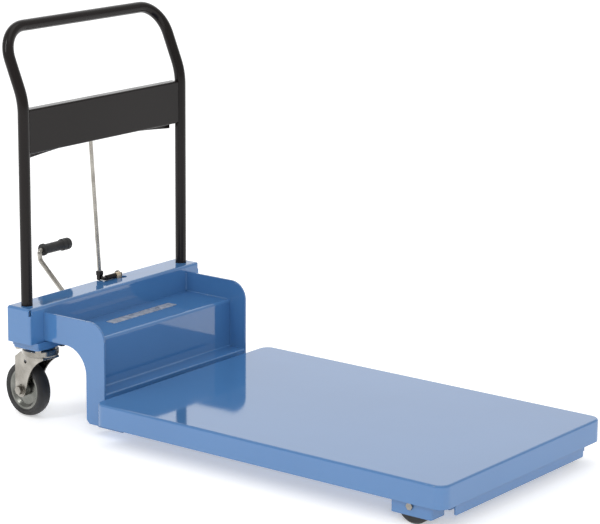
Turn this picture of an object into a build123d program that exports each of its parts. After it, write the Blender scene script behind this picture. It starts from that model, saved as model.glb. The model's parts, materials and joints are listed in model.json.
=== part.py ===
"""Low-profile hydraulic scissor-lift table truck with a foot pump, in millimetres.

The floor is Z = 0, +X points from the handle to the front of the table, and the
row's origin is the middle of the truck's plan at floor level. Lengths along X are
given from the table's rear edge, which x() turns into the row's own X.
"""

import os
from math import asin, atan2, cos, degrees, radians, sin, sqrt, tan

from build123d import *

os.makedirs("parts", exist_ok=True)

# ---------------------------------------------------------------- driving sizes
TABLE_LENGTH = 910.0
TABLE_WIDTH = 600.0
TABLE_HEIGHT = 98.0  # top of the table when lowered
SKIRT = 49.4  # depth of the table's folded skirt
SHEET = 3.2  # thickness of the folded sheet parts
CORNER_R = 25.0  # table's vertical corners

GRIP_OVERHANG = 405.0  # pedal grip behind the table, the rearmost point
TABLE_REAR = -(TABLE_LENGTH - GRIP_OVERHANG) / 2  # X of the table's rear edge

HANDLE_TUBE = 25.4
HANDLE_SPACING = 525.4
HANDLE_LEAN = 23.0  # degrees that the top of the handle leans back
HANDLE_TOP = 877.0
PANEL_TOP = 705.5
PANEL_BOTTOM = 607.0

BEAM_DEPTH = 70.0
BEAM_WIDTH = 580.0
BEAM_TOP = 271.0
BEAM_BOTTOM = 190.0
HOUSING_HALF = 246.0  # outer faces of the housing's side plates
PLATE = 4.5  # thickness of the housing's side plates
SHELF_TOP = 211.0
LIP_TOP = 100.0
LIP_DEPTH = 22.0  # height of the lip's downward flange

CASTER_WHEEL = 125.0
CASTER_TRAIL = 45.0
CASTER_YAW = -7.0  # degrees that the casters have swung from straight
CASTER_HALF_TRACK = 221.0
FRONT_WHEEL = 80.0
FRONT_HALF_TRACK = 265.5

ARM_LENGTH = 690.0  # between a scissor arm's end pins
ARM_WIDTH = 36.0
ARM_THICK = 10.0
LOWER_PIN_Z = 36.0
UPPER_PIN_Z = 74.0
PIN_D = 16.0
ROLLER_D = 28.0
RUNNING = 0.05  # radial clearance of a running fit
REST_ANGLE = asin((UPPER_PIN_Z - LOWER_PIN_Z) / ARM_LENGTH)  # radians

LIFT_PIN_Z = 72.0  # both pins of the lift cylinder when lowered
LIFT_PIN_D = 12.0

SIDES = (("right", -1), ("left", 1))  # seen by the operator, who faces +X


def x(offset):
    """Row X of a place given by its distance in front of the table's rear edge."""
    return TABLE_REAR + offset


# Places along the truck, from the table's rear edge
BEAM_X = x(-229)
BEAM_FRONT = BEAM_X + BEAM_DEPTH / 2
BEAM_REAR = BEAM_X - BEAM_DEPTH / 2
POST_X = x(-228)
RISER_X = x(-62)  # front face of the housing's riser
HOUSING_FRONT = x(-17)
HINGE_X = x(170)  # fixed ends of both scissor arms
ROLLER_X = HINGE_X + sqrt(ARM_LENGTH**2 - (UPPER_PIN_Z - LOWER_PIN_Z) ** 2)
CENTRE_X, CENTRE_Z = (HINGE_X + ROLLER_X) / 2, (LOWER_PIN_Z + UPPER_PIN_Z) / 2
CYLINDER_X = x(20)  # cylinder's rear pin
LEVER_X = x(240)  # rod's pin on the lift lever
FRONT_AXLE_X = x(825)
PUMP_Y = -48.0  # pedal arm, plunger and pump block share this plane
PEDAL_X, PEDAL_Z = x(-166), 106.1
GRIP_X, GRIP_Z = x(-391), 331.0


def save(part, label):
    part.label = label
    export_step(part, f"parts/{label}.step")


def y_cylinder(centre_x, centre_z, radius, y_from, y_to, mode=Mode.ADD):
    """Cylinder along Y between two Y values."""
    with Locations((centre_x, (y_from + y_to) / 2, centre_z)):
        Cylinder(radius, abs(y_to - y_from), rotation=(90, 0, 0), mode=mode)


def block(x_range, y_range, z_range, mode=Mode.ADD):
    """Box given by its lowest and highest X, Y and Z."""
    low, high = zip(x_range, y_range, z_range)
    with Locations(tuple((a + b) / 2 for a, b in zip(low, high))):
        Box(*(b - a for a, b in zip(low, high)), mode=mode)


def both(y_sign, inner, outer):
    """Y range between two distances from the middle, on one side."""
    return sorted((y_sign * inner, y_sign * outer))


# ---------------------------------------------------------------- table
with BuildPart() as table_deck:
    with BuildSketch(Plane.XY.offset(TABLE_HEIGHT)):
        with Locations((x(TABLE_LENGTH / 2), 0)):
            RectangleRounded(TABLE_LENGTH, TABLE_WIDTH, CORNER_R)
    extrude(amount=-SKIRT)
    fillet(table_deck.faces().sort_by(Axis.Z)[-1].edges(), 5)
    offset(amount=-SHEET, openings=table_deck.faces().sort_by(Axis.Z)[0])
    # notch in the rear skirt for the hydraulic pipe and the cylinder's lugs
    with Locations((x(0), 0, TABLE_HEIGHT - SKIRT)):
        Box(2 * SHEET + 6, 96, 70, align=(Align.CENTER, Align.CENTER, Align.CENTER), mode=Mode.SUBTRACT)
save(table_deck.part, "table_deck")

RIB_HEIGHT, RIB_THICK = 12.0, 6.0
deck_under = TABLE_HEIGHT - SHEET
with BuildPart() as deck_ribs:
    with Locations(*[(x(station), 0, deck_under - RIB_HEIGHT / 2) for station in (380, 490, 600)]):
        Box(RIB_THICK, 300, RIB_HEIGHT)
save(deck_ribs.part, "deck_ribs")

RAIL_OUT, RAIL_IN = 209.2, 184.0  # outer face and inner edge of rails and channels
CHANNEL_BOTTOM = 56.5
with BuildPart() as roller_channels:
    for side, y_sign in SIDES:
        block((x(600), x(890)), both(y_sign, RAIL_IN, RAIL_OUT), (CHANNEL_BOTTOM, deck_under))
        block(
            (x(600), x(890)),
            both(y_sign, RAIL_IN - 1, RAIL_OUT - SHEET),
            (CHANNEL_BOTTOM + 3, deck_under - 3),
            mode=Mode.SUBTRACT,
        )
save(roller_channels.part, "roller_channels")

PIN_R = PIN_D / 2
with BuildPart() as deck_hinge_brackets:
    for side, y_sign in SIDES:
        lug = both(y_sign, 182, 188)
        block((HINGE_X - 28, HINGE_X + 28), lug, (UPPER_PIN_Z, deck_under))
        y_cylinder(HINGE_X, UPPER_PIN_Z, 16, *lug)
        y_cylinder(HINGE_X, UPPER_PIN_Z, PIN_R, *both(y_sign, 163.5, 188))
        y_cylinder(HINGE_X, UPPER_PIN_Z, PIN_R + 3, *both(y_sign, 163.5, 168))
save(deck_hinge_brackets.part, "deck_hinge_brackets")

# ---------------------------------------------------------------- scissor
INNER_ARM = (156.0, 156.0 + ARM_THICK)  # distances of the arms' faces from the middle
OUTER_ARM = (169.0, 169.0 + ARM_THICK)
ROLLER = (186.0, 202.0)
BORE_R = PIN_R + RUNNING


def arm_pair(faces, tilt, bores):
    """Two flat bars with round ends, tilted about the scissor's centre pin."""
    with BuildPart() as arms:
        for side, y_sign in SIDES:
            low, high = both(y_sign, *faces)
            with BuildSketch(Plane.XZ.offset(-high)):
                with Locations((CENTRE_X, CENTRE_Z)):
                    SlotCenterToCenter(ARM_LENGTH, ARM_WIDTH, rotation=tilt)
            extrude(amount=high - low)
            for bore_x, bore_z in bores:
                y_cylinder(bore_x, bore_z, BORE_R, low - 1, high + 1, mode=Mode.SUBTRACT)
    return arms.part


tilt = degrees(REST_ANGLE)
centre = (CENTRE_X, CENTRE_Z)
save(arm_pair(INNER_ARM, tilt, [(HINGE_X, LOWER_PIN_Z)]), "inner_arms")
save(arm_pair(OUTER_ARM, -tilt, [(HINGE_X, UPPER_PIN_Z), centre]), "outer_arms")

TUBE_X, TUBE_Z = HINGE_X + 35, LOWER_PIN_Z + 35 * tan(REST_ANGLE)
with BuildPart() as inner_cross_tubes:
    for tube_x, radius in ((TUBE_X, 15), (ROLLER_X - 50, 12)):
        tube_z = LOWER_PIN_Z + (tube_x - HINGE_X) * tan(REST_ANGLE)
        y_cylinder(tube_x, tube_z, radius, -INNER_ARM[0], INNER_ARM[0])
        y_cylinder(tube_x, tube_z, radius - 3, -INNER_ARM[0], INNER_ARM[0], mode=Mode.SUBTRACT)
save(inner_cross_tubes.part, "inner_cross_tubes")

with BuildPart() as lift_lever:
    for side, y_sign in SIDES:
        low, high = both(y_sign, 12, 20)
        with BuildSketch(Plane.XZ.offset(-high)):
            with BuildLine():
                Polyline(
                    (TUBE_X - 13, TUBE_Z + 2),
                    (TUBE_X + 13, TUBE_Z - 14),
                    (LEVER_X + 10, LIFT_PIN_Z - 9),
                    (LEVER_X - 10, LIFT_PIN_Z + 9),
                    close=True,
                )
            make_face()
            with Locations((LEVER_X, LIFT_PIN_Z)):
                Circle(14)
        extrude(amount=high - low)
    y_cylinder(TUBE_X, TUBE_Z, 15, -21, 21, mode=Mode.SUBTRACT)
    y_cylinder(LEVER_X, LIFT_PIN_Z, LIFT_PIN_D / 2, -24, 24)
save(lift_lever.part, "lift_lever")

with BuildPart() as outer_cross_tube:
    tube_x = ROLLER_X - 30
    tube_z = LOWER_PIN_Z + 30 * tan(REST_ANGLE)
    y_cylinder(tube_x, tube_z, 12, -OUTER_ARM[0], OUTER_ARM[0])
    y_cylinder(tube_x, tube_z, 9, -OUTER_ARM[0], OUTER_ARM[0], mode=Mode.SUBTRACT)
save(outer_cross_tube.part, "outer_cross_tube")


def roller_axles(from_face, pin_z):
    """Stub axles that carry a roller outside each arm of a pair."""
    for side, y_sign in SIDES:
        y_cylinder(ROLLER_X, pin_z, PIN_R, *both(y_sign, from_face, 205))
        y_cylinder(ROLLER_X, pin_z, PIN_R + 2, *both(y_sign, from_face, 185.4))


with BuildPart() as inner_arm_pins:
    roller_axles(INNER_ARM[1], UPPER_PIN_Z)
    for side, y_sign in SIDES:
        y_cylinder(*centre, PIN_R, *both(y_sign, INNER_ARM[1], 184))
        y_cylinder(*centre, PIN_R + 4, *both(y_sign, 179.6, 184))
save(inner_arm_pins.part, "inner_arm_pins")

with BuildPart() as outer_arm_pins:
    roller_axles(OUTER_ARM[1], LOWER_PIN_Z)
save(outer_arm_pins.part, "outer_arm_pins")

for name, pin_z in (("upper_rollers", UPPER_PIN_Z), ("lower_rollers", LOWER_PIN_Z)):
    with BuildPart() as rollers:
        for side, y_sign in SIDES:
            y_cylinder(ROLLER_X, pin_z, ROLLER_D / 2, *both(y_sign, *ROLLER))
            y_cylinder(ROLLER_X, pin_z, BORE_R, *both(y_sign, 180, 208), mode=Mode.SUBTRACT)
    save(rollers.part, name)

# ---------------------------------------------------------------- lift cylinder
ROD_R = 10.0
with BuildPart() as lift_cylinder:
    with Locations(Location((CYLINDER_X, 0, LIFT_PIN_Z), (0, 90, 0))):
        Cylinder(20, 145, align=(Align.CENTER, Align.CENTER, Align.MIN))
    block(
        (CYLINDER_X - 20, CYLINDER_X + 18), (-23, 23), (LIFT_PIN_Z - 21, LIFT_PIN_Z + 21),
        mode=Mode.SUBTRACT,
    )
    block((CYLINDER_X, CYLINDER_X + 18), (-22, 22), (LIFT_PIN_Z - 15, LIFT_PIN_Z + 15))
    y_cylinder(CYLINDER_X, LIFT_PIN_Z, 15, -22, 22)
    with Locations(Location((CYLINDER_X + 30, 0, LIFT_PIN_Z), (0, 90, 0))):
        Cylinder(16, 130, align=(Align.CENTER, Align.CENTER, Align.MIN), mode=Mode.SUBTRACT)
    y_cylinder(CYLINDER_X, LIFT_PIN_Z, LIFT_PIN_D / 2 + RUNNING, -24, 24, mode=Mode.SUBTRACT)
    # gland that guides the rod
    with Locations(Location((CYLINDER_X + 145, 0, LIFT_PIN_Z), (0, 90, 0))):
        Cylinder(18, 10, align=(Align.CENTER, Align.CENTER, Align.MIN))
        Cylinder(ROD_R + RUNNING, 10, align=(Align.CENTER, Align.CENTER, Align.MIN), mode=Mode.SUBTRACT)
save(lift_cylinder.part, "lift_cylinder")

EYE_CLEARANCE = 4.0  # radial play of the rod's eye on the lever's pin
with BuildPart() as piston_rod:
    with Locations(Location((CYLINDER_X + 118, 0, LIFT_PIN_Z), (0, 90, 0))):
        Cylinder(ROD_R, LEVER_X - CYLINDER_X - 118, align=(Align.CENTER, Align.CENTER, Align.MIN))
        Cylinder(16 - RUNNING, 20, align=(Align.CENTER, Align.CENTER, Align.MIN))
    y_cylinder(LEVER_X, LIFT_PIN_Z, 14.5, -11, 11)
    y_cylinder(LEVER_X, LIFT_PIN_Z, LIFT_PIN_D / 2 + EYE_CLEARANCE, -12, 12, mode=Mode.SUBTRACT)
save(piston_rod.part, "piston_rod")

# ---------------------------------------------------------------- base frame
with BuildPart() as rear_crossmember:
    block((x(-40), x(30)), (-HOUSING_HALF + PLATE, HOUSING_HALF - PLATE), (22, 44))
    block(
        (x(-40) + SHEET, x(30) - SHEET), (-HOUSING_HALF, HOUSING_HALF), (22 + SHEET, 44 - SHEET),
        mode=Mode.SUBTRACT,
    )
    # lugs for the lift cylinder's rear pin
    for side, y_sign in SIDES:
        lug = both(y_sign, 24, 30)
        block((x(5), x(30)), lug, (44, LIFT_PIN_Z))
        y_cylinder(CYLINDER_X, LIFT_PIN_Z, 14, *lug)
    y_cylinder(CYLINDER_X, LIFT_PIN_Z, LIFT_PIN_D / 2, -40, 40, mode=Mode.SUBTRACT)
save(rear_crossmember.part, "rear_crossmember")

RAIL_Z = (18.0, 53.5)
RAIL_FRONT = x(896.8)
with BuildPart() as base_rails:
    for side, y_sign in SIDES:
        block((x(30), RAIL_FRONT), both(y_sign, RAIL_IN, RAIL_OUT), RAIL_Z)
        block(
            (x(29), RAIL_FRONT + 1),
            both(y_sign, RAIL_IN - 1, RAIL_OUT - SHEET),
            (RAIL_Z[0] + SHEET, RAIL_Z[1] - SHEET),
            mode=Mode.SUBTRACT,
        )
        # the front end is cut back to its web, clear of the ground
        block(
            (x(876), RAIL_FRONT + 1), both(y_sign, RAIL_IN - 1, RAIL_OUT - SHEET), (0, 60),
            mode=Mode.SUBTRACT,
        )
        block(
            (x(866), RAIL_FRONT + 1), both(y_sign, RAIL_IN - 1, RAIL_OUT + 1), (0, 26),
            mode=Mode.SUBTRACT,
        )
save(base_rails.part, "base_rails")

with BuildPart() as front_cross_plate:
    block((x(896.8), x(900)), (-241, 241), (22.5, 64))
    block((x(884), x(896.8)), (-180, 180), (64 - SHEET, 64))
    fillet(front_cross_plate.edges().filter_by(Axis.X).group_by(Axis.Z)[0], 4)
save(front_cross_plate.part, "front_cross_plate")

BRACKET = ((x(778), x(876)), (241.0, 290.0), (20.0, 86.0))
with BuildPart() as wheel_brackets:
    for side, y_sign in SIDES:
        block(BRACKET[0], both(y_sign, *BRACKET[1]), BRACKET[2])
    fillet(wheel_brackets.edges().filter_by(Axis.Z), 5)
    for side, y_sign in SIDES:
        block(
            (BRACKET[0][0] + 4, BRACKET[0][1] - 4),
            both(y_sign, BRACKET[1][0] + 4, BRACKET[1][1] - 4),
            (BRACKET[2][0] - 1, BRACKET[2][1] - 4),
            mode=Mode.SUBTRACT,
        )
        # outrigger that ties the bracket to the base rail
        block((x(798), x(852)), both(y_sign, RAIL_OUT, BRACKET[1][0]), (24, 56))
        block((x(802), x(848)), both(y_sign, RAIL_OUT - 1, BRACKET[1][0]), (20, 52), mode=Mode.SUBTRACT)
        y_cylinder(FRONT_AXLE_X, FRONT_WHEEL / 2, 6, *both(y_sign, 230, 300), mode=Mode.SUBTRACT)
save(wheel_brackets.part, "wheel_brackets")

AXLE_R = 6.0


def hexagon_head(centre_x, centre_z, across_flats, y_from, y_to):
    """Bolt head or nut with its axis along Y."""
    with BuildPart(mode=Mode.PRIVATE) as head:
        with BuildSketch(Plane.XZ.offset(-y_to)):
            RegularPolygon(across_flats / 2, 6, major_radius=False)
        extrude(amount=y_to - y_from)
    add(head.part.moved(Location((centre_x, 0, centre_z))))


with BuildPart() as front_wheel_axles:
    for side, y_sign in SIDES:
        y_cylinder(FRONT_AXLE_X, FRONT_WHEEL / 2, AXLE_R, *both(y_sign, 237, 290))
        hexagon_head(FRONT_AXLE_X, FRONT_WHEEL / 2, 14, *both(y_sign, 290, 294))
        hexagon_head(FRONT_AXLE_X, FRONT_WHEEL / 2, 18, *both(y_sign, 233, 241))
save(front_wheel_axles.part, "front_wheel_axles")

for side, y_sign in SIDES:
    with BuildPart() as front_wheel:
        with BuildSketch(Plane.XY):
            with BuildLine():
                Polyline(
                    (AXLE_R + RUNNING, -19), (11, -19), (11, -15), (36, -15), (40, -11),
                    (40, 11), (36, 15), (11, 15), (11, 19), (AXLE_R + RUNNING, 19), close=True,
                )
            make_face()
        revolve(axis=Axis.Y)
    wheel = front_wheel.part.moved(Location((FRONT_AXLE_X, y_sign * FRONT_HALF_TRACK, FRONT_WHEEL / 2)))
    save(wheel, f"{side}_front_wheel")

# ---------------------------------------------------------------- housing
CUT_R = 60.0  # quarter-round cut behind each side plate, over the caster
for side, y_sign in SIDES:
    with BuildPart() as side_plate:
        low, high = both(y_sign, HOUSING_HALF - PLATE, HOUSING_HALF)
        with BuildSketch(Plane.XZ.offset(-high)):
            with BuildLine():
                top = Line((BEAM_FRONT, 257), (x(-59), 257))
                round_front = RadiusArc(top @ 1, (HOUSING_FRONT, 215), 42)
                Polyline(
                    round_front @ 1, (HOUSING_FRONT, 44), (x(55), 44), (x(55), 26), (x(-62), 26),
                    (x(-70), 34), (x(-70), 133),
                )
                cut = RadiusArc((x(-70), 133), (x(-130), 193), -CUT_R)
                Polyline(cut @ 1, (BEAM_FRONT, 193), (BEAM_FRONT, 257))
            make_face()
        extrude(amount=high - low)
    save(side_plate.part, f"{side}_side_plate")

COVER_SHEET = 3.0
with BuildPart() as housing_cover:
    with BuildSketch(Plane.XZ.offset(-(HOUSING_HALF - PLATE))):
        with BuildLine():
            FilletPolyline(
                (BEAM_FRONT, SHELF_TOP), (RISER_X, SHELF_TOP), (RISER_X, LIP_TOP),
                (HOUSING_FRONT, LIP_TOP), (HOUSING_FRONT, LIP_TOP - LIP_DEPTH), radius=[6, 3, 3],
            )
            inner = FilletPolyline(
                (HOUSING_FRONT - COVER_SHEET, LIP_TOP - LIP_DEPTH),
                (HOUSING_FRONT - COVER_SHEET, LIP_TOP - COVER_SHEET),
                (RISER_X - COVER_SHEET, LIP_TOP - COVER_SHEET),
                (RISER_X - COVER_SHEET, SHELF_TOP - COVER_SHEET),
                (BEAM_FRONT, SHELF_TOP - COVER_SHEET), radius=[0.6, 5, 3],
            )
            Line((HOUSING_FRONT, LIP_TOP - LIP_DEPTH), inner @ 0)
            Line(inner @ 1, (BEAM_FRONT, SHELF_TOP))
        make_face()
    extrude(amount=2 * (HOUSING_HALF - PLATE))
save(housing_cover.part, "housing_cover")

with BuildPart() as label_plate:
    with BuildSketch(Plane.XY.offset(SHELF_TOP)):
        with Locations((x(-137), 17)):
            RectangleRounded(25, 216, 2)
    extrude(amount=0.8)
save(label_plate.part, "label_plate")

# ---------------------------------------------------------------- beam
ROD_X, ROD_FOOT_Y, ROD_FOOT_Z = x(-256), 8.0, 284.0
ROD_TOP_Y, ROD_TOP_Z = -19.5, 640.0
CRANK_X, CRANK_Z = x(-243), 277.5
SLEEVE_R = 6.0
LINK_X, LINK_Y = CRANK_X - 11, 68.0
LINK_FOOT = 140.0  # the link pulls the release valve's stem up
BEAM_SHEET = 4.5
with BuildPart() as rear_beam:
    block((BEAM_REAR, BEAM_FRONT), (-BEAM_WIDTH / 2, BEAM_WIDTH / 2), (BEAM_BOTTOM, BEAM_TOP))
    fillet(rear_beam.faces().sort_by(Axis.Z)[-1].edges(), 6)
    fillet(rear_beam.edges().filter_by(Axis.Z), 5)
    block(
        (BEAM_REAR + BEAM_SHEET, BEAM_FRONT - BEAM_SHEET),
        (-BEAM_WIDTH / 2 + BEAM_SHEET, BEAM_WIDTH / 2 - BEAM_SHEET),
        (BEAM_BOTTOM - 1, BEAM_TOP - BEAM_SHEET),
        mode=Mode.SUBTRACT,
    )
    with Locations(*[(POST_X, s * HANDLE_SPACING / 2, BEAM_TOP) for s in (-1, 1)]):
        Cylinder(HANDLE_TUBE / 2 + 0.3, 30, mode=Mode.SUBTRACT)
    # relief slots at the ends of the top front bend
    for y_sign in (-1, 1):
        block(
            (BEAM_FRONT - 5, BEAM_FRONT + 1), both(y_sign, 283, 292), (BEAM_TOP - 16, BEAM_TOP - 2),
            mode=Mode.SUBTRACT,
        )
    # opening that the valve's link passes through
    with Locations((x(-239), 66, BEAM_TOP)):
        Cylinder(11, 30, mode=Mode.SUBTRACT)
    block((BEAM_REAR + 5, x(-243)), (62, 74), (BEAM_TOP - 10, BEAM_TOP + 1), mode=Mode.SUBTRACT)
    # slot in the rear wall that the pedal's arm swings in
    block(
        (BEAM_REAR - 1, BEAM_REAR + 10), (PUMP_Y - 14, PUMP_Y + 14),
        (BEAM_BOTTOM - 1, BEAM_BOTTOM + 36), mode=Mode.SUBTRACT,
    )
save(rear_beam.part, "rear_beam")

# ---------------------------------------------------------------- handle
LEAN_Z = 725.6  # where the handle starts to lean back
handle_top_x = POST_X - (HANDLE_TOP - LEAN_Z) * tan(radians(HANDLE_LEAN))
half = HANDLE_SPACING / 2
with BuildPart() as handle_frame:
    with BuildLine():
        FilletPolyline(
            (POST_X, -half, BEAM_BOTTOM + 12), (POST_X, -half, LEAN_Z), (handle_top_x, -half, HANDLE_TOP),
            (handle_top_x, half, HANDLE_TOP), (POST_X, half, LEAN_Z), (POST_X, half, BEAM_BOTTOM + 12),
            radius=[140, 70, 70, 140],
        )
    with BuildSketch(Plane((POST_X, -half, BEAM_BOTTOM + 12))):
        Circle(HANDLE_TUBE / 2)
        Circle(HANDLE_TUBE / 2 - 2, mode=Mode.SUBTRACT)
    sweep()
save(handle_frame.part, "handle_frame")

PANEL_FRONT, PANEL_BACK = POST_X + 6, POST_X - 16
PANEL_HALF = half - HANDLE_TUBE / 2
with BuildPart() as handle_panel:
    block((PANEL_BACK, PANEL_FRONT), (-PANEL_HALF, PANEL_HALF), (PANEL_BOTTOM, PANEL_TOP))
    fillet(handle_panel.edges().filter_by(Axis.Y).group_by(Axis.X)[-1], 4)
    block(
        (PANEL_BACK - 1, PANEL_FRONT - 2), (-PANEL_HALF - 1, PANEL_HALF + 1),
        (PANEL_BOTTOM + 2, PANEL_TOP - 2), mode=Mode.SUBTRACT,
    )
save(handle_panel.part, "handle_panel")

with BuildPart() as panel_back_plate:
    with BuildSketch(Plane.YZ.offset(PANEL_BACK - 2)):
        with BuildLine():
            edge = half - 20
            arch = ThreePointArc((-edge + 24, 595), (0, 606), (edge - 24, 595))
            Polyline(
                arch @ 1, (edge, 593), (edge, PANEL_TOP - 2), (-edge, PANEL_TOP - 2), (-edge, 593),
                arch @ 0,
            )
        make_face()
    extrude(amount=2)
save(panel_back_plate.part, "panel_back_plate")

with BuildPart() as release_bracket:
    for gap in (-1, 1):
        block(
            (PANEL_BACK - 48, PANEL_BACK - 2),
            both(1, ROD_TOP_Y + gap * 8.0, ROD_TOP_Y + gap * 10.5), (622, 656),
        )
    block((PANEL_BACK - 5, PANEL_BACK - 2), (ROD_TOP_Y - 24, ROD_TOP_Y + 24), (616, 662))
    y_cylinder(ROD_X - 25, ROD_TOP_Z, 4, ROD_TOP_Y - 12, ROD_TOP_Y + 12)
save(release_bracket.part, "release_bracket")

with BuildPart() as release_lever:
    pivot_x = ROD_X - 25
    lever_y = (ROD_TOP_Y - 3, ROD_TOP_Y + 3)
    with BuildSketch(Plane.XZ.offset(-lever_y[1])):
        with BuildLine():
            Polyline(
                (ROD_X + 2, ROD_TOP_Z - 7), (ROD_X + 2, ROD_TOP_Z + 7), (pivot_x, ROD_TOP_Z + 9),
                (pivot_x - 80, ROD_TOP_Z - 10), (pivot_x - 80, ROD_TOP_Z - 26),
                (pivot_x, ROD_TOP_Z - 9), close=True,
            )
        make_face()
        with Locations((pivot_x, ROD_TOP_Z)):
            Circle(10)
        with Locations((ROD_X, ROD_TOP_Z)):
            Circle(7)
    extrude(amount=6)
    y_cylinder(pivot_x, ROD_TOP_Z, 4 + RUNNING, ROD_TOP_Y - 5, ROD_TOP_Y + 5, mode=Mode.SUBTRACT)
    y_cylinder(ROD_X, ROD_TOP_Z, 4, ROD_TOP_Y - 5, ROD_TOP_Y + 5, mode=Mode.SUBTRACT)
save(release_lever.part, "release_lever")

with BuildPart() as release_grip:
    with BuildSketch(Plane.XZ.offset(-(ROD_TOP_Y + 9))):
        with Locations((pivot_x - 62, ROD_TOP_Z - 14)):
            SlotOverall(64, 22, rotation=13)
    extrude(amount=18)
    fillet(release_grip.faces().filter_by(Axis.Y).edges(), 6)
    block((pivot_x - 82, pivot_x), lever_y, (ROD_TOP_Z - 40, ROD_TOP_Z + 20), mode=Mode.SUBTRACT)
save(release_grip.part, "release_grip")

# the rod leans a little, from the crank on the beam to the lever behind the panel
rod_foot = Vector(ROD_X, ROD_FOOT_Y, ROD_FOOT_Z)
rod_top = Vector(ROD_X, ROD_TOP_Y, ROD_TOP_Z)
ROD_EYE = 16.0
with BuildPart() as release_rod:
    with BuildLine():
        Line(rod_foot, rod_top - Vector(0, 0, ROD_EYE))
    with BuildSketch(Plane(rod_foot, z_dir=rod_top - rod_foot)):
        Circle(4.5)
    sweep()
    # fork at the top that straddles the lever, with its pin
    for gap in (-1, 1):
        block(
            (ROD_X - 5, ROD_X + 5), both(1, ROD_TOP_Y + gap * 3.6, ROD_TOP_Y + gap * 6.6),
            (ROD_TOP_Z - 18, ROD_TOP_Z + 5),
        )
    block((ROD_X - 5, ROD_X + 5), (ROD_TOP_Y - 6.6, ROD_TOP_Y + 6.6), (ROD_TOP_Z - 20, ROD_TOP_Z - 12))
    y_cylinder(ROD_X, ROD_TOP_Z, 3, ROD_TOP_Y - 6.6, ROD_TOP_Y + 6.6)
save(release_rod.part, "release_rod")

with BuildPart() as rod_clevis:
    for gap in (-1, 1):
        block(
            (ROD_X - 4.5, ROD_X + 4.5), both(1, ROD_FOOT_Y + gap * 3.2, ROD_FOOT_Y + gap * 5.6),
            (CRANK_Z - 5, ROD_FOOT_Z + 9),
        )
    block((ROD_X - 5.8, ROD_X + 5.8), (ROD_FOOT_Y - 6.4, ROD_FOOT_Y + 5.8), (ROD_FOOT_Z, ROD_FOOT_Z + 9))
    block(
        (ROD_X - 4.6, ROD_X + 4.6), (ROD_FOOT_Y - 5.3, ROD_FOOT_Y + 4.6),
        (ROD_FOOT_Z - 1, ROD_FOOT_Z + 10), mode=Mode.SUBTRACT,
    )
save(rod_clevis.part, "rod_clevis")

with BuildPart() as valve_crank:
    y_cylinder(CRANK_X, CRANK_Z, SLEEVE_R, 14.5, 44)
    y_cylinder(CRANK_X, CRANK_Z, 3, 44, 66)
    block((ROD_X - 4, CRANK_X), (ROD_FOOT_Y - 2.5, ROD_FOOT_Y + 2.5), (CRANK_Z - 3.5, CRANK_Z + 3.5))
    block((CRANK_X - 5, CRANK_X + 5), (ROD_FOOT_Y - 2.5, 15), (CRANK_Z - 3.5, CRANK_Z + 3.5))
    block((LINK_X - 4, CRANK_X + 4), (62, 66), (CRANK_Z - 4, CRANK_Z + 4))
    y_cylinder(LINK_X, CRANK_Z, 2.5, 62, LINK_Y + 2.5)
save(valve_crank.part, "valve_crank")

with BuildPart() as crank_bearing:
    block((CRANK_X - 7, CRANK_X + 7), (46, 60), (BEAM_TOP, CRANK_Z))
    y_cylinder(CRANK_X, CRANK_Z, CRANK_Z - BEAM_TOP, 46, 60)
    y_cylinder(CRANK_X, CRANK_Z, 3 + RUNNING, 45, 61, mode=Mode.SUBTRACT)
save(crank_bearing.part, "crank_bearing")

with BuildPart() as valve_link:
    with Locations((LINK_X, LINK_Y, LINK_FOOT)):
        Cylinder(2, CRANK_Z - LINK_FOOT - 5, align=(Align.CENTER, Align.CENTER, Align.MIN))
    y_cylinder(LINK_X, CRANK_Z, 6.5, LINK_Y - 1.5, LINK_Y + 1.5)
    y_cylinder(LINK_X, CRANK_Z, 4, LINK_Y - 3, LINK_Y + 3, mode=Mode.SUBTRACT)
save(valve_link.part, "valve_link")

# ---------------------------------------------------------------- pump
PUMP_FLOOR = 48.0
with BuildPart() as pump_mount_plate:
    block((x(-206), x(-4)), (-80, 95), (44, PUMP_FLOOR))
    # tongue under the release valve
    block((x(-268), x(-206)), (46, 90), (44, PUMP_FLOOR))
save(pump_mount_plate.part, "pump_mount_plate")

PLUNGER_X, PLUNGER_R = PEDAL_X - 22, 8.0
NOSE_R = 8.0
NOSE_Z = PEDAL_Z - 2  # axis of the pedal's nose
PUMP_TOP = 76.0
with BuildPart() as pump_block:
    block((x(-206), x(-140)), (PUMP_Y - 30, PUMP_Y + 30), (PUMP_FLOOR, PUMP_TOP))
    fillet(pump_block.edges().filter_by(Axis.Z), 4)
    block((PEDAL_X - 12, PEDAL_X + 12), (PUMP_Y - 20, PUMP_Y + 20), (PUMP_TOP, PEDAL_Z))
    y_cylinder(PEDAL_X, PEDAL_Z, 12, PUMP_Y - 20, PUMP_Y + 20)
    block(
        (PEDAL_X - 17, PEDAL_X + 17), (PUMP_Y - 12, PUMP_Y + 12), (PUMP_TOP, PEDAL_Z + 20),
        mode=Mode.SUBTRACT,
    )
    # bore of the plunger
    with Locations((PLUNGER_X, PUMP_Y, PUMP_FLOOR + 2)):
        Cylinder(PLUNGER_R + RUNNING, 60, align=(Align.CENTER, Align.CENTER, Align.MIN), mode=Mode.SUBTRACT)
    y_cylinder(PEDAL_X, PEDAL_Z, AXLE_R, PUMP_Y - 25, PUMP_Y + 25, mode=Mode.SUBTRACT)
save(pump_block.part, "pump_block")

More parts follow.
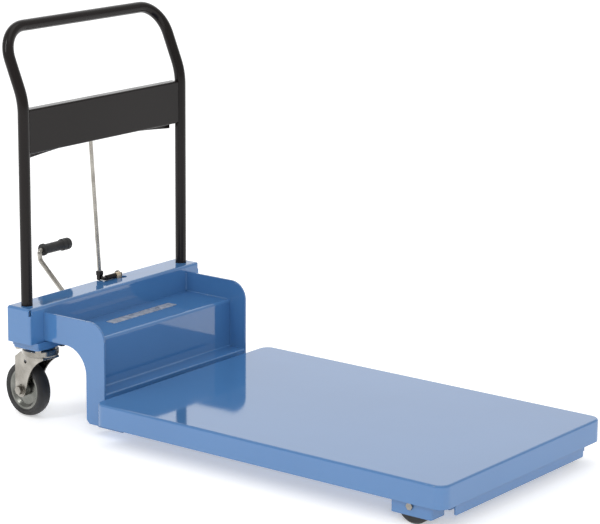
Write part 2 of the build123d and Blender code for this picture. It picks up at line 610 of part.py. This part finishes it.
with BuildPart() as oil_reservoir:
    y_cylinder(x(-160), PUMP_FLOOR + 40, 40, PUMP_Y + 30, 84)
    fillet(oil_reservoir.faces().sort_by(Axis.Y)[-1].edges(), 8)
    with Locations((x(-160), 50, PUMP_FLOOR + 76)):
        Cylinder(9, 12, align=(Align.CENTER, Align.CENTER, Align.MIN))
    block((x(-200), x(-120)), (0, 66), (PUMP_FLOOR, PUMP_FLOOR + 12))
save(oil_reservoir.part, "oil_reservoir")

with BuildPart() as release_valve:
    with Locations((LINK_X, LINK_Y, PUMP_FLOOR)):
        Cylinder(10, 70, align=(Align.CENTER, Align.CENTER, Align.MIN))
    with Locations((LINK_X, LINK_Y, PUMP_FLOOR + 70)):
        Cylinder(5, LINK_FOOT - PUMP_FLOOR - 70.5, align=(Align.CENTER, Align.CENTER, Align.MIN))
save(release_valve.part, "release_valve")

PIPE_Y = -36.0
with BuildPart() as hydraulic_pipe:
    with BuildLine():
        FilletPolyline(
            (x(-140), PIPE_Y, 62), (x(-96), PIPE_Y, 62), (x(-86), PIPE_Y, LIFT_PIN_Z),
            (CYLINDER_X - 9, PIPE_Y, LIFT_PIN_Z),
            radius=8,
        )
    with BuildSketch(Plane((x(-140), PIPE_Y, 62), z_dir=(1, 0, 0))):
        Circle(3)
    sweep()
    y_cylinder(CYLINDER_X, LIFT_PIN_Z, 10, PIPE_Y - 5, PIPE_Y + 5)
    y_cylinder(CYLINDER_X, LIFT_PIN_Z, LIFT_PIN_D / 2, PIPE_Y - 6, PIPE_Y + 6, mode=Mode.SUBTRACT)
save(hydraulic_pipe.part, "hydraulic_pipe")

with BuildPart() as chassis_pins:
    y_cylinder(CYLINDER_X, LIFT_PIN_Z, LIFT_PIN_D / 2, -43, 33)
    y_cylinder(PEDAL_X, PEDAL_Z, AXLE_R, PUMP_Y - 24, PUMP_Y + 24)
    for side, y_sign in SIDES:
        y_cylinder(HINGE_X, LOWER_PIN_Z, PIN_R, *both(y_sign, 150, RAIL_OUT - SHEET))
        y_cylinder(HINGE_X, LOWER_PIN_Z, PIN_R + 3, *both(y_sign, 150, 155))
save(chassis_pins.part, "chassis_pins")

HEAD_TOP = NOSE_Z - NOSE_R - 0.5
with BuildPart() as pump_plunger:
    with Locations((PLUNGER_X, PUMP_Y, HEAD_TOP)):
        Cylinder(11, 5, align=(Align.CENTER, Align.CENTER, Align.MAX))
        Cylinder(PLUNGER_R, HEAD_TOP - PUMP_FLOOR - 16, align=(Align.CENTER, Align.CENTER, Align.MAX))
save(pump_plunger.part, "pump_plunger")

# ---------------------------------------------------------------- pedal
ARM_ROD_R = 5.5
GRIP_Y = (-40.0, 52.0)
pedal_slope = atan2(GRIP_Z - 24 - PEDAL_Z, GRIP_X - PEDAL_X)
with BuildPart() as pedal_arm:
    start = (PEDAL_X + 9 * cos(pedal_slope), PUMP_Y, PEDAL_Z + 9 * sin(pedal_slope))
    with BuildLine():
        FilletPolyline(
            start, (GRIP_X + 2, PUMP_Y, GRIP_Z - 22), (GRIP_X, PUMP_Y, GRIP_Z),
            (GRIP_X, GRIP_Y[1] - 6, GRIP_Z),
            radius=[12, 8],
        )
    with BuildSketch(Plane(start, z_dir=(cos(pedal_slope), 0, sin(pedal_slope)))):
        Circle(ARM_ROD_R)
    sweep()
    y_cylinder(PEDAL_X, PEDAL_Z, 11.5, PUMP_Y - 11.5, PUMP_Y + 11.5)
    # nose that presses the plunger down
    y_cylinder(PLUNGER_X, NOSE_Z, NOSE_R, PUMP_Y - 10, PUMP_Y + 10)
    block((PLUNGER_X, PEDAL_X), (PUMP_Y - 10, PUMP_Y + 10), (PEDAL_Z - 6, PEDAL_Z + 4))
    y_cylinder(PEDAL_X, PEDAL_Z, AXLE_R + RUNNING, PUMP_Y - 30, PUMP_Y + 30, mode=Mode.SUBTRACT)
save(pedal_arm.part, "pedal_arm")

with BuildPart() as pedal_grip:
    with BuildSketch(Plane.XY):
        with BuildLine():
            Polyline(
                (0, -38), (14, -38), (14, -33), (11.6, -31), (11.6, 24), (14, 26), (14, 31),
                (12.6, 33), (12.6, 36), (14, 38), (14, 46),
            )
            ThreePointArc((14, 46), (11.6, 51), (6, 52))
            Polyline((6, 52), (0, 52), (0, -38))
        make_face()
    revolve(axis=Axis.Y)
    y_cylinder(0, 0, ARM_ROD_R, -41, GRIP_Y[1] - 6, mode=Mode.SUBTRACT)
save(pedal_grip.part.moved(Location((GRIP_X, 0, GRIP_Z))), "pedal_grip")

with BuildPart() as pedal_spring:
    with BuildLine():
        coil = Helix(
            pitch=3.2, height=12, radius=16, center=(PEDAL_X, PUMP_Y - 37, PEDAL_Z),
            direction=(0, 1, 0),
        )
    with BuildSketch(Plane(coil @ 0, z_dir=coil % 0)):
        Circle(1.3)
    sweep(is_frenet=True)
save(pedal_spring.part, "pedal_spring")

# ---------------------------------------------------------------- casters
CASTER_AXLE_Z = CASTER_WHEEL / 2
PAD_Z, TOP_PLATE_Z = (178.0, BEAM_BOTTOM), (172.0, 178.0)
with BuildPart() as caster_mount_pads:
    for side, y_sign in SIDES:
        with BuildSketch(Plane.XY.offset(PAD_Z[0])):
            with Locations((BEAM_X, y_sign * CASTER_HALF_TRACK)):
                RectangleRounded(78, 104, 8)
        extrude(amount=PAD_Z[1] - PAD_Z[0])
save(caster_mount_pads.part, "caster_mount_pads")

BOLT_X, BOLT_Y = 60.0, 76.0  # spacing of a caster's mounting bolts
with BuildPart() as caster_top_plates:
    for side, y_sign in SIDES:
        with BuildSketch(Plane.XY.offset(TOP_PLATE_Z[0])):
            with Locations((BEAM_X, y_sign * CASTER_HALF_TRACK)):
                RectangleRounded(76, 98, 8)
        extrude(amount=TOP_PLATE_Z[1] - TOP_PLATE_Z[0])
        with Locations((BEAM_X, y_sign * CASTER_HALF_TRACK, TOP_PLATE_Z[0])):
            Cone(33, 37, 5, align=(Align.CENTER, Align.CENTER, Align.MAX))
            Cylinder(8, 24, align=(Align.CENTER, Align.CENTER, Align.MAX))
save(caster_top_plates.part, "caster_top_plates")

with BuildPart() as caster_bolts:
    with BuildSketch(Plane.XY.offset(TOP_PLATE_Z[0] - 5.5)):
        for side, y_sign in SIDES:
            with Locations((BEAM_X, y_sign * CASTER_HALF_TRACK)):
                with GridLocations(BOLT_X, BOLT_Y, 2, 2):
                    RegularPolygon(6.5, 6, major_radius=False)
    extrude(amount=5.5)
save(caster_bolts.part, "caster_bolts")

LEG_IN, LEG_OUT = 19.5, 23.0
with BuildPart() as caster_fork:
    with Locations((0, 0, 150)):
        Cylinder(41.5, 15.5, align=(Align.CENTER, Align.CENTER, Align.MIN))
    fillet(caster_fork.edges().group_by(Axis.Z)[0], 5)
    fillet(caster_fork.edges().group_by(Axis.Z)[-1], 3)
    block((-46, 26), (-LEG_OUT, LEG_OUT), (144, 151))
    with BuildSketch(Plane.XZ.offset(-LEG_OUT)):
        with BuildLine():
            back = -CASTER_TRAIL - 17
            Polyline((back, CASTER_AXLE_Z), (back, 138), (-44, 151), (36, 151), (36, 146))
            front = ThreePointArc((36, 146), (-4, 116), (-CASTER_TRAIL + 22, 74))
            Line(front @ 1, (-CASTER_TRAIL + 17, CASTER_AXLE_Z))
            ThreePointArc(
                (-CASTER_TRAIL + 17, CASTER_AXLE_Z), (-CASTER_TRAIL, CASTER_AXLE_Z - 17),
                (back, CASTER_AXLE_Z),
            )
        make_face()
    extrude(amount=2 * LEG_OUT)
    block((-80, 60), (-LEG_IN, LEG_IN), (20, 144), mode=Mode.SUBTRACT)
    # pressed boss round the axle and a drain hole in each leg
    for leg_sign in (-1, 1):
        y_cylinder(-CASTER_TRAIL, CASTER_AXLE_Z, 13, *both(leg_sign, LEG_OUT, LEG_OUT + 2))
    y_cylinder(-26, 132, 4.5, -30, 30, mode=Mode.SUBTRACT)
    with Locations((0, 0, 140)):
        Cylinder(8 + RUNNING, 40, align=(Align.CENTER, Align.CENTER, Align.MIN), mode=Mode.SUBTRACT)
    y_cylinder(-CASTER_TRAIL, CASTER_AXLE_Z, AXLE_R, -30, 30, mode=Mode.SUBTRACT)

with BuildPart() as caster_axle:
    y_cylinder(-CASTER_TRAIL, CASTER_AXLE_Z, AXLE_R, -LEG_OUT - 2, LEG_OUT + 2)
    hexagon_head(-CASTER_TRAIL, CASTER_AXLE_Z, 18, LEG_OUT + 2, LEG_OUT + 8)
    hexagon_head(-CASTER_TRAIL, CASTER_AXLE_Z, 18, -LEG_OUT - 8, -LEG_OUT - 2)

TYRE_IN = 47.0
with BuildPart() as caster_tyre:
    with BuildSketch(Plane.XY):
        with BuildLine():
            Polyline((58, 16), (51, 16), (TYRE_IN, 13), (TYRE_IN, -13), (51, -16), (58, -16))
            ThreePointArc((58, -16), (CASTER_AXLE_Z, 0), (58, 16))
        make_face()
    revolve(axis=Axis.Y)

with BuildPart() as caster_wheel:
    with BuildSketch(Plane.XY):
        with BuildLine():
            Polyline(
                (AXLE_R + RUNNING, -19), (13, -19), (16, -9), (36, -7), (42, -13), (TYRE_IN, -13),
                (TYRE_IN, 13), (42, 13), (36, 7), (16, 9), (13, 19), (AXLE_R + RUNNING, 19), close=True,
            )
        make_face()
    revolve(axis=Axis.Y)

for side, y_sign in SIDES:
    swivel = Location((BEAM_X, y_sign * CASTER_HALF_TRACK, 0), (0, 0, CASTER_YAW))
    axle_centre = swivel * Location((-CASTER_TRAIL, 0, CASTER_AXLE_Z))
    save(caster_fork.part.moved(swivel), f"{side}_caster_fork")
    save(caster_axle.part.moved(swivel), f"{side}_caster_axle")
    save(caster_wheel.part.moved(axle_centre), f"{side}_caster_wheel")
    save(caster_tyre.part.moved(axle_centre), f"{side}_caster_tyre")

with BuildPart() as handle_bolts:
    for y_sign in (-1, 1):
        for bolt_z in (215, 250):
            with Locations(Location((BEAM_REAR, y_sign * half, bolt_z), (0, -90, 0))):
                Cylinder(4, 5, align=(Align.CENTER, Align.CENTER, Align.MIN))
save(handle_bolts.part, "handle_bolts")
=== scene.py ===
import json
import math

import bmesh
import bpy
from mathutils import Matrix, Vector


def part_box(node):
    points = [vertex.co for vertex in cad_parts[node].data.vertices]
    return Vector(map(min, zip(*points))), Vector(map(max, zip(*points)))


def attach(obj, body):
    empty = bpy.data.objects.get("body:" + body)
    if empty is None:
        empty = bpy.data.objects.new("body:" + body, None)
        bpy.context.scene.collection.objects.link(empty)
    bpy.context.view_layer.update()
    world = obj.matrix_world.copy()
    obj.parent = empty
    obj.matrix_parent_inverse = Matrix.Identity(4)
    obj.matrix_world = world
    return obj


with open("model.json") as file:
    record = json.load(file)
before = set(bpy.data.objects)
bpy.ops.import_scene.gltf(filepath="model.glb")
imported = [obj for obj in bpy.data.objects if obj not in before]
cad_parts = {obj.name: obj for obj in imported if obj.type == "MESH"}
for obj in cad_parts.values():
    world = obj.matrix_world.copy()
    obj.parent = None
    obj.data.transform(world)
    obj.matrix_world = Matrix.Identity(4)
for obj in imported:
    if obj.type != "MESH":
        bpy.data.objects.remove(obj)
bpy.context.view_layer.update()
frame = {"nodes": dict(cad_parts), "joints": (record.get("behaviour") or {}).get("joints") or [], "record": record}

# ---------------------------------------------------------------- camera
CAMERA_PLACE = Vector((3.2295, -4.135, 1.653))
AZIMUTH, ELEVATION, ROLL = (math.radians(a) for a in (37.344, 13.502, 0.4424))
LENS = 149.97


def make_camera():
    forward = Vector((
        -math.sin(AZIMUTH) * math.cos(ELEVATION),
        math.cos(AZIMUTH) * math.cos(ELEVATION),
        -math.sin(ELEVATION),
    ))
    level = forward.cross(Vector((0, 0, 1))).normalized()
    upright = level.cross(forward)
    right = math.cos(ROLL) * level + math.sin(ROLL) * upright
    up = right.cross(forward)
    data = bpy.data.cameras.new("camera")
    data.lens, data.sensor_width = LENS, 36.0
    data.clip_end = 200.0
    camera = bpy.data.objects.new("camera", data)
    camera.matrix_world = Matrix((
        (right.x, up.x, -forward.x, CAMERA_PLACE.x),
        (right.y, up.y, -forward.y, CAMERA_PLACE.y),
        (right.z, up.z, -forward.z, CAMERA_PLACE.z),
        (0, 0, 0, 1),
    ))
    bpy.context.scene.collection.objects.link(camera)
    bpy.context.scene.camera = camera


# ---------------------------------------------------------------- materials
def new_material(name):
    """Node material with its Principled shader and output, and its object coordinates."""
    material = bpy.data.materials.new(name)
    material.use_nodes = True
    tree = material.node_tree
    shader = tree.nodes["Principled BSDF"]
    coords = tree.nodes.new("ShaderNodeTexCoord")
    return material, tree, shader, coords.outputs["Object"]


def noise(tree, coords, scale, detail=3.0, rough=0.5):
    node = tree.nodes.new("ShaderNodeTexNoise")
    node.inputs["Scale"].default_value = scale
    node.inputs["Detail"].default_value = detail
    node.inputs["Roughness"].default_value = rough
    tree.links.new(coords, node.inputs["Vector"])
    return node.outputs["Fac"]


def spread(tree, value, low, high, from_low=0.3, from_high=0.7):
    """Value remapped from its usual span to low..high."""
    node = tree.nodes.new("ShaderNodeMapRange")
    node.inputs["From Min"].default_value = from_low
    node.inputs["From Max"].default_value = from_high
    node.inputs["To Min"].default_value = low
    node.inputs["To Max"].default_value = high
    tree.links.new(value, node.inputs["Value"])
    return node.outputs["Result"]


def blend_colours(tree, value, first, second):
    node = tree.nodes.new("ShaderNodeMix")
    node.data_type = "RGBA"
    node.inputs["A"].default_value = (*first, 1)
    node.inputs["B"].default_value = (*second, 1)
    tree.links.new(value, node.inputs["Factor"])
    return node.outputs["Result"]


def bump(tree, shader, height, strength, distance, edge=0.0):
    """Surface relief, over edges softened by the given radius."""
    node = tree.nodes.new("ShaderNodeBump")
    node.inputs["Strength"].default_value = strength
    node.inputs["Distance"].default_value = distance
    tree.links.new(height, node.inputs["Height"])
    if edge:
        soft = tree.nodes.new("ShaderNodeBevel")
        soft.samples = 4
        soft.inputs["Radius"].default_value = edge
        tree.links.new(soft.outputs["Normal"], node.inputs["Normal"])
    tree.links.new(node.outputs["Normal"], shader.inputs["Normal"])


def paint(name, dark, light, rough, peel, ior, edge):
    """Sprayed paint: slight drift of colour and gloss, and fine orange peel."""
    material, tree, shader, coords = new_material(name)
    drift = spread(tree, noise(tree, coords, 3.0), 0, 1)
    tree.links.new(blend_colours(tree, drift, dark, light), shader.inputs["Base Color"])
    gloss = spread(tree, noise(tree, coords, 14.0), rough * 0.75, rough * 1.3)
    tree.links.new(gloss, shader.inputs["Roughness"])
    shader.inputs["IOR"].default_value = ior
    bump(tree, shader, noise(tree, coords, 260.0, 1.5), peel, 0.0004, edge)
    return material


def metal(name, dark, light, rough_low, rough_high, strength=0.15):
    """Plated or turned metal with cloudy tone and fine grain."""
    material, tree, shader, coords = new_material(name)
    shader.inputs["Metallic"].default_value = 1.0
    cloud = spread(tree, noise(tree, coords, 28.0, 4.0), 0, 1)
    tree.links.new(blend_colours(tree, cloud, dark, light), shader.inputs["Base Color"])
    fine = noise(tree, coords, 60.0)
    tree.links.new(spread(tree, fine, rough_low, rough_high), shader.inputs["Roughness"])
    bump(tree, shader, fine, strength, 0.0003, 0.0008)
    return material


def rubber(name, dark, light, rough, scale=420.0, strength=0.3):
    """Matt rubber or moulded plastic with a fine grain and dusty patches."""
    material, tree, shader, coords = new_material(name)
    dust = spread(tree, noise(tree, coords, 22.0, 4.0), 0, 1)
    tree.links.new(blend_colours(tree, dust, dark, light), shader.inputs["Base Color"])
    gloss = spread(tree, noise(tree, coords, 55.0), rough - 0.1, rough + 0.1)
    tree.links.new(gloss, shader.inputs["Roughness"])
    bump(tree, shader, noise(tree, coords, scale, 2.0), strength, 0.0003)
    return material


def label_material():
    """Silver foil label, slightly mottled, with no marks on it."""
    material, tree, shader, coords = new_material("silver_label")
    tone = spread(tree, noise(tree, coords, 90.0, 4.0), 0, 1)
    colour = blend_colours(tree, tone, (0.30, 0.32, 0.36), (0.66, 0.67, 0.70))
    tree.links.new(colour, shader.inputs["Base Color"])
    tree.links.new(spread(tree, noise(tree, coords, 60.0), 0.25, 0.4), shader.inputs["Roughness"])
    shader.inputs["Metallic"].default_value = 0.5
    return material


def make_materials():
    """Material of each slot in the record."""
    return {
        "blue_paint": paint(
            "blue_paint", (0.060, 0.176, 0.395), (0.068, 0.191, 0.420),
            rough=0.06, peel=0.03, ior=1.72, edge=0.0016,
        ),
        "black_paint": paint(
            "black_paint", (0.007, 0.005, 0.0045), (0.010, 0.0075, 0.007),
            rough=0.20, peel=0.08, ior=1.32, edge=0.001,
        ),
        "zinc": metal("zinc_plate", (0.24, 0.225, 0.20), (0.44, 0.42, 0.38), 0.14, 0.30),
        "zinc_disc": metal("zinc_disc", (0.15, 0.155, 0.14), (0.26, 0.26, 0.24), 0.22, 0.38),
        "steel": metal("turned_steel", (0.34, 0.34, 0.35), (0.46, 0.46, 0.47), 0.22, 0.42),
        "chrome_rod": metal(
            "hard_chrome", (0.72, 0.72, 0.74), (0.80, 0.80, 0.82), 0.06, 0.14, strength=0.04,
        ),
        "black_rubber": rubber("black_rubber", (0.010, 0.010, 0.010), (0.020, 0.020, 0.020), 0.55),
        "black_plastic": rubber("black_nylon", (0.013, 0.013, 0.014), (0.022, 0.022, 0.023), 0.45),
        "cast_grey": rubber(
            "grey_casting", (0.10, 0.10, 0.105), (0.15, 0.15, 0.155), 0.55, 180.0, 0.5,
        ),
        "brass": metal("dull_brass", (0.50, 0.40, 0.27), (0.66, 0.55, 0.40), 0.28, 0.45),
        "label": label_material(),
    }


# ---------------------------------------------------------------- floor and light
def make_stage():
    """Matt white floor, slightly emissive so that it fades into the white surroundings."""
    bpy.ops.mesh.primitive_plane_add(size=80.0, location=(0, 0, 0))
    floor = bpy.context.object
    floor.name = "floor"
    material, tree, shader, coords = new_material("pale_floor")
    tone = spread(tree, noise(tree, coords, 0.6), 0, 1)
    colour = blend_colours(tree, tone, (0.93, 0.93, 0.93), (0.95, 0.95, 0.95))
    tree.links.new(colour, shader.inputs["Base Color"])
    shader.inputs["Roughness"].default_value = 0.9
    shader.inputs["Specular IOR Level"].default_value = 0.0
    shader.inputs["Emission Color"].default_value = (1, 1, 1, 1)
    shader.inputs["Emission Strength"].default_value = 0.4
    floor.data.materials.append(material)


def add_light(name, data, forward):
    """Light that shines along forward."""
    light = bpy.data.objects.new(name, data)
    light.rotation_euler = forward.to_track_quat("-Z", "Y").to_euler()
    bpy.context.scene.collection.objects.link(light)
    return light


def area_light(name, place, aim, size, power):
    data = bpy.data.lights.new(name, "AREA")
    data.shape = "RECTANGLE"
    data.size, data.size_y = size
    data.energy = power
    add_light(name, data, Vector(aim) - Vector(place)).location = place


def make_world():
    """Grey studio with a white sweep behind the object."""
    world = bpy.data.worlds.new("studio")
    world.use_nodes = True
    tree = world.node_tree
    background = tree.nodes["Background"]
    background.inputs["Color"].default_value = (1.0, 1.0, 1.0, 1)
    coords = tree.nodes.new("ShaderNodeTexCoord")
    behind = tree.nodes.new("ShaderNodeVectorMath")
    behind.operation = "DOT_PRODUCT"
    behind.inputs[1].default_value = (-math.sin(AZIMUTH), math.cos(AZIMUTH), 0)
    tree.links.new(coords.outputs["Generated"], behind.inputs[0])
    level = spread(tree, behind.outputs["Value"], 0.60, 1.3, 0.45, 0.80)
    tree.links.new(level, background.inputs["Strength"])
    bpy.context.scene.world = world


def make_light():
    make_world()
    area_light("top", (0.3, 0.3, 4.2), (0, 0, 0), (3.0, 2.5), 20)
    # narrow strip that runs along rounded edges and tubes
    area_light("edge", (-1.2, -2.6, 3.0), (0, 0, 0.3), (0.25, 2.4), 30)
    data = bpy.data.lights.new("front", "SUN")
    data.energy = 0.75
    data.angle = math.radians(25)
    light = add_light("front", data, Vector((-0.64, 0.64, -0.42)))
    light.visible_glossy = False  # it would burn out the table top seen from behind


# ---------------------------------------------------------------- detail pieces
BEAD_RIPPLE = 0.004  # length of one ripple along a weld
BEAD_SIDES = 10
PLATE_BEAD, PANEL_BEAD, COVER_BEAD = 0.0028, 0.0022, 0.0022  # radii of the weld beads
PLATE_BEAD_ENDS = 0.002, 0.003  # above the shelf, below the plate's top
PANEL_BEAD_END = 0.004  # from the panel's top and bottom
PANEL_BEAD_BACK, PANEL_BEAD_IN = 0.003, 0.002  # from the panel's front face and its edge
COVER_BEAD_ENDS = 0.004, 0.052  # from the beam's face, from the cover's front

LINE_RADII = (0.0540, 0.0565)  # mould lines on each wall of a caster's tyre
LINE_OFFSET = 0.0158  # of the mould lines from the wheel's middle plane
LINE_WIRE = 0.0006  # radius of the raised line itself
LINE_STEPS, LINE_SIDES = 96, 6


def circle_points(centre, across, upward, radius, count):
    """Points round a circle in the plane of two unit vectors."""
    angles = (2 * math.pi * n / count for n in range(count))
    return [centre + radius * (math.cos(a) * across + math.sin(a) * upward) for a in angles]


def mesh_piece(name, body, slot, build):
    """Smooth piece whose mesh the build function adds to an empty bmesh, riding on a CAD body."""
    bm = bmesh.new()
    build(bm)
    bmesh.ops.recalc_face_normals(bm, faces=bm.faces)
    mesh = bpy.data.meshes.new(name)
    bm.to_mesh(mesh)
    bm.free()
    for polygon in mesh.polygons:
        polygon.use_smooth = True
    piece = bpy.data.objects.new(name, mesh)
    bpy.context.scene.collection.objects.link(piece)
    mesh.materials.append(materials[slot])
    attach(piece, body)


def ring_strip(bm, rings, closed=False):
    """Faces between consecutive rings of points, either joined end to end or capped."""
    rows = [[bm.verts.new(p) for p in ring] for ring in rings]
    count = len(rows[0])
    pairs = zip(rows, rows[1:] + rows[:1]) if closed else zip(rows, rows[1:])
    for first, second in pairs:
        for i in range(count):
            j = (i + 1) % count
            bm.faces.new((first[i], first[j], second[j], second[i]))
    if not closed:
        bm.faces.new(list(reversed(rows[0])))
        bm.faces.new(rows[-1])


def weld_bead(start, end, radius):
    """Build function for a rippled bead of weld along a straight line."""
    start, end = Vector(start), Vector(end)
    length = (end - start).length
    along = (end - start).normalized()
    side = along.orthogonal().normalized()
    other = along.cross(side)
    steps = max(int(length / (BEAD_RIPPLE / 4)), 6)

    def build(bm):
        rings = []
        for k in range(steps + 1):
            t = k / steps
            swell = radius * (0.82 + 0.18 * math.sin(2 * math.pi * t * length / BEAD_RIPPLE))
            if k in (0, steps):
                swell *= 0.45
            rings.append(circle_points(start.lerp(end, t), side, other, swell, BEAD_SIDES))
        ring_strip(bm, rings)

    return build


def make_welds(side):
    """Beads on one side: plate to beam, handle panel to post, and housing cover to plate."""
    outward = 1 if side == "left" else -1
    plate_low, plate_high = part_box(f"{side}_side_plate")
    panel_low, panel_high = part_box("handle_panel")
    cover_low, cover_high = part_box("housing_cover")
    beam_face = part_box("rear_beam")[1].x
    shelf = cover_high.z
    if side == "left":
        plate_y, panel_y, cover_y = plate_low.y, panel_high.y, cover_high.y
    else:
        plate_y, panel_y, cover_y = plate_high.y, panel_low.y, cover_low.y

    bead = weld_bead(
        (beam_face, plate_y, shelf + PLATE_BEAD_ENDS[0]),
        (beam_face, plate_y, plate_high.z - PLATE_BEAD_ENDS[1]), PLATE_BEAD,
    )
    mesh_piece(f"{side}_plate_weld", "chassis", "blue_paint", bead)

    panel_x, panel_y = panel_high.x - PANEL_BEAD_BACK, panel_y - PANEL_BEAD_IN * outward
    bead = weld_bead(
        (panel_x, panel_y, panel_low.z + PANEL_BEAD_END),
        (panel_x, panel_y, panel_high.z - PANEL_BEAD_END), PANEL_BEAD,
    )
    mesh_piece(f"{side}_panel_weld", "chassis", "black_paint", bead)

    bead = weld_bead(
        (beam_face + COVER_BEAD_ENDS[0], cover_y, shelf),
        (cover_high.x - COVER_BEAD_ENDS[1], cover_y, shelf), COVER_BEAD,
    )
    mesh_piece(f"{side}_cover_weld", "chassis", "blue_paint", bead)


def make_mould_lines(side):
    """Two fine raised rings on each wall of a caster's tyre."""
    joint = next(j for j in frame["joints"] if j["name"] == f"{side}_caster_roll")
    axis = Vector(joint["axis"]).normalized()
    centre = Vector(joint["pos_m"])
    across = axis.cross(Vector((0, 0, 1))).normalized()
    upward = axis.cross(across)

    def build(bm):
        for offset in (-LINE_OFFSET, LINE_OFFSET):
            for radius in LINE_RADII:
                rings = []
                for k in range(LINE_STEPS):
                    a = 2 * math.pi * k / LINE_STEPS
                    out = math.cos(a) * across + math.sin(a) * upward
                    middle = centre + axis * offset + out * radius
                    rings.append(circle_points(middle, out, axis, LINE_WIRE, LINE_SIDES))
                ring_strip(bm, rings, closed=True)

    mesh_piece(f"{side}_tyre_lines", f"{side}_caster_wheel_body", "black_rubber", build)


make_camera()
materials = make_materials()
slot_of = {s["node"]: s["material_slot"] for s in frame["record"]["subparts"]}
for name, node in frame["nodes"].items():
    node.data.materials.clear()
    node.data.materials.append(materials[slot_of[name]])
for side in ("left", "right"):
    make_welds(side)
for side in ("left", "right"):
    make_mould_lines(side)
make_stage()
make_light()
bpy.context.scene.view_settings.view_transform = "Standard"
